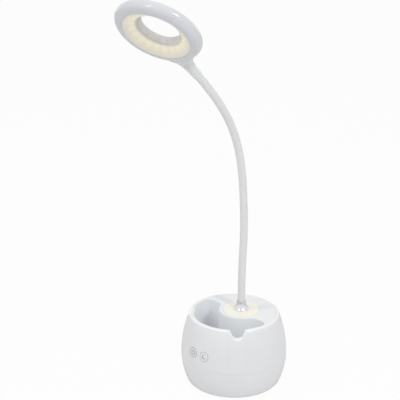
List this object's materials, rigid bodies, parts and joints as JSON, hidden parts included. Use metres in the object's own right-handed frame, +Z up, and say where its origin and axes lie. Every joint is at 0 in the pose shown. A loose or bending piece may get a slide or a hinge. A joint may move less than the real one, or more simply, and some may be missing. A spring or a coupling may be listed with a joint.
{
  "type": "desk lamp with pen pot base",
  "caption": "Rechargeable desk lamp: light ring on a flexible neck, rising from a round pot with an open crescent pen cup and a night-light disc.",
  "frame": {"origin": "centre of the round foot pad, on the plane the lamp stands on", "axes": "+Z up; -Y towards the front, where the touch keys are and over which the head leans; +X to the right of someone facing the front from behind the pot"},
  "size_m": [0.11, 0.1875, 0.4205],
  "materials": {
    "shell": "glossy white moulded",
    "bowl": "glossy white moulded",
    "deck": "satin white moulded",
    "night_diffuser": "frosted cream, translucent",
    "collar": "bright plated",
    "nut": "nickel-plated",
    "ferrule": "plain",
    "screws": "zinc-plated",
    "weight": "plated steel disc",
    "pad": "matt foam rubber",
    "board": "solder-masked fibreglass",
    "light_board": "white solder-masked fibreglass",
    "emitters": "phosphor-filled light emitters",
    "socket": "stamped steel",
    "cell": "foil pouch",
    "holder": "black moulded",
    "touch_pad": "conductive foam",
    "core": "spiral-wound steel",
    "sleeve": "smooth white silicone",
    "head_shell": "glossy white moulded",
    "inner_collar": "satin pale grey",
    "ring_diffuser": "frosted cream, lit"
  },
  "bodies": {
    "pot": {"base_upper_shell": "shell", "base_lower_bowl": "bowl", "foot_pad": "pad", "counterweight": "weight", "base_screws": "screws", "deck_and_cup": "deck", "night_light_diffuser": "night_diffuser", "night_light_board": "light_board", "night_light_leds": "emitters", "neck_collar": "collar", "neck_clamp_nut": "nut", "lower_ferrule": "ferrule", "battery_holder": "holder", "battery_cell": "cell", "main_board": "board", "usb_socket": "socket", "touch_board": "board", "touch_pads": "touch_pad", "neck_core_1": "core", "neck_sleeve_1": "sleeve"},
    "neck_2": {"neck_core_2": "core", "neck_sleeve_2": "sleeve"},
    "neck_3": {"neck_core_3": "core", "neck_sleeve_3": "sleeve"},
    "neck_4": {"neck_core_4": "core", "neck_sleeve_4": "sleeve"},
    "neck_5": {"neck_core_5": "core", "neck_sleeve_5": "sleeve"},
    "neck_6": {"neck_core_6": "core", "neck_sleeve_6": "sleeve"},
    "neck_7": {"neck_core_7": "core", "neck_sleeve_7": "sleeve"},
    "neck_8": {"neck_core_8": "core", "neck_sleeve_8": "sleeve"},
    "head": {"neck_core_9": "core", "neck_sleeve_9": "sleeve", "upper_ferrule": "ferrule", "head_housing": "head_shell", "head_inner_collar": "inner_collar", "ring_diffuser": "ring_diffuser", "led_board": "light_board", "ring_leds": "emitters"}
  },
  "joints": [
    {"name": "neck_bend_1", "type": "hinge", "parent": "pot", "child": "neck_2", "pos_m": [0, 0.01077, 0.1115], "axis": [1, 0, 0], "range_deg": [-23, 27], "deforming": ["neck_sleeve_1", "neck_sleeve_2"]},
    {"name": "neck_sway_2", "type": "hinge", "parent": "neck_2", "child": "neck_3", "pos_m": [0, 0.0121, 0.14197], "axis": [0, 0.9976, -0.0698], "range_deg": [-25, 25], "deforming": ["neck_sleeve_2", "neck_sleeve_3"]},
    {"name": "neck_bend_3", "type": "hinge", "parent": "neck_3", "child": "neck_4", "pos_m": [0, 0.0129, 0.17245], "axis": [1, 0, 0], "range_deg": [-29, 21], "deforming": ["neck_sleeve_3", "neck_sleeve_4"]},
    {"name": "neck_sway_4", "type": "hinge", "parent": "neck_4", "child": "neck_5", "pos_m": [0, 0.01156, 0.20291], "axis": [0, 0.9976, 0.0698], "range_deg": [-25, 25], "deforming": ["neck_sleeve_4", "neck_sleeve_5"]},
    {"name": "neck_bend_5", "type": "hinge", "parent": "neck_5", "child": "neck_6", "pos_m": [0, 0.00811, 0.23321], "axis": [1, 0, 0], "range_deg": [-33, 17], "deforming": ["neck_sleeve_5", "neck_sleeve_6"]},
    {"name": "neck_bend_6", "type": "hinge", "parent": "neck_6", "child": "neck_7", "pos_m": [0, 0.00049, 0.26269], "axis": [1, 0, 0], "range_deg": [-36.5, 13.5], "deforming": ["neck_sleeve_6", "neck_sleeve_7"]},
    {"name": "neck_sway_7", "type": "hinge", "parent": "neck_7", "child": "neck_8", "pos_m": [0, -0.01286, 0.29005], "axis": [0, 0.848, 0.5299], "range_deg": [-25, 25], "deforming": ["neck_sleeve_7", "neck_sleeve_8"]},
    {"name": "neck_bend_8", "type": "hinge", "parent": "neck_8", "child": "head", "pos_m": [0, -0.03077, 0.31471], "axis": [1, 0, 0], "range_deg": [-31, 19], "deforming": ["neck_sleeve_8", "neck_sleeve_9"]}
  ]
}
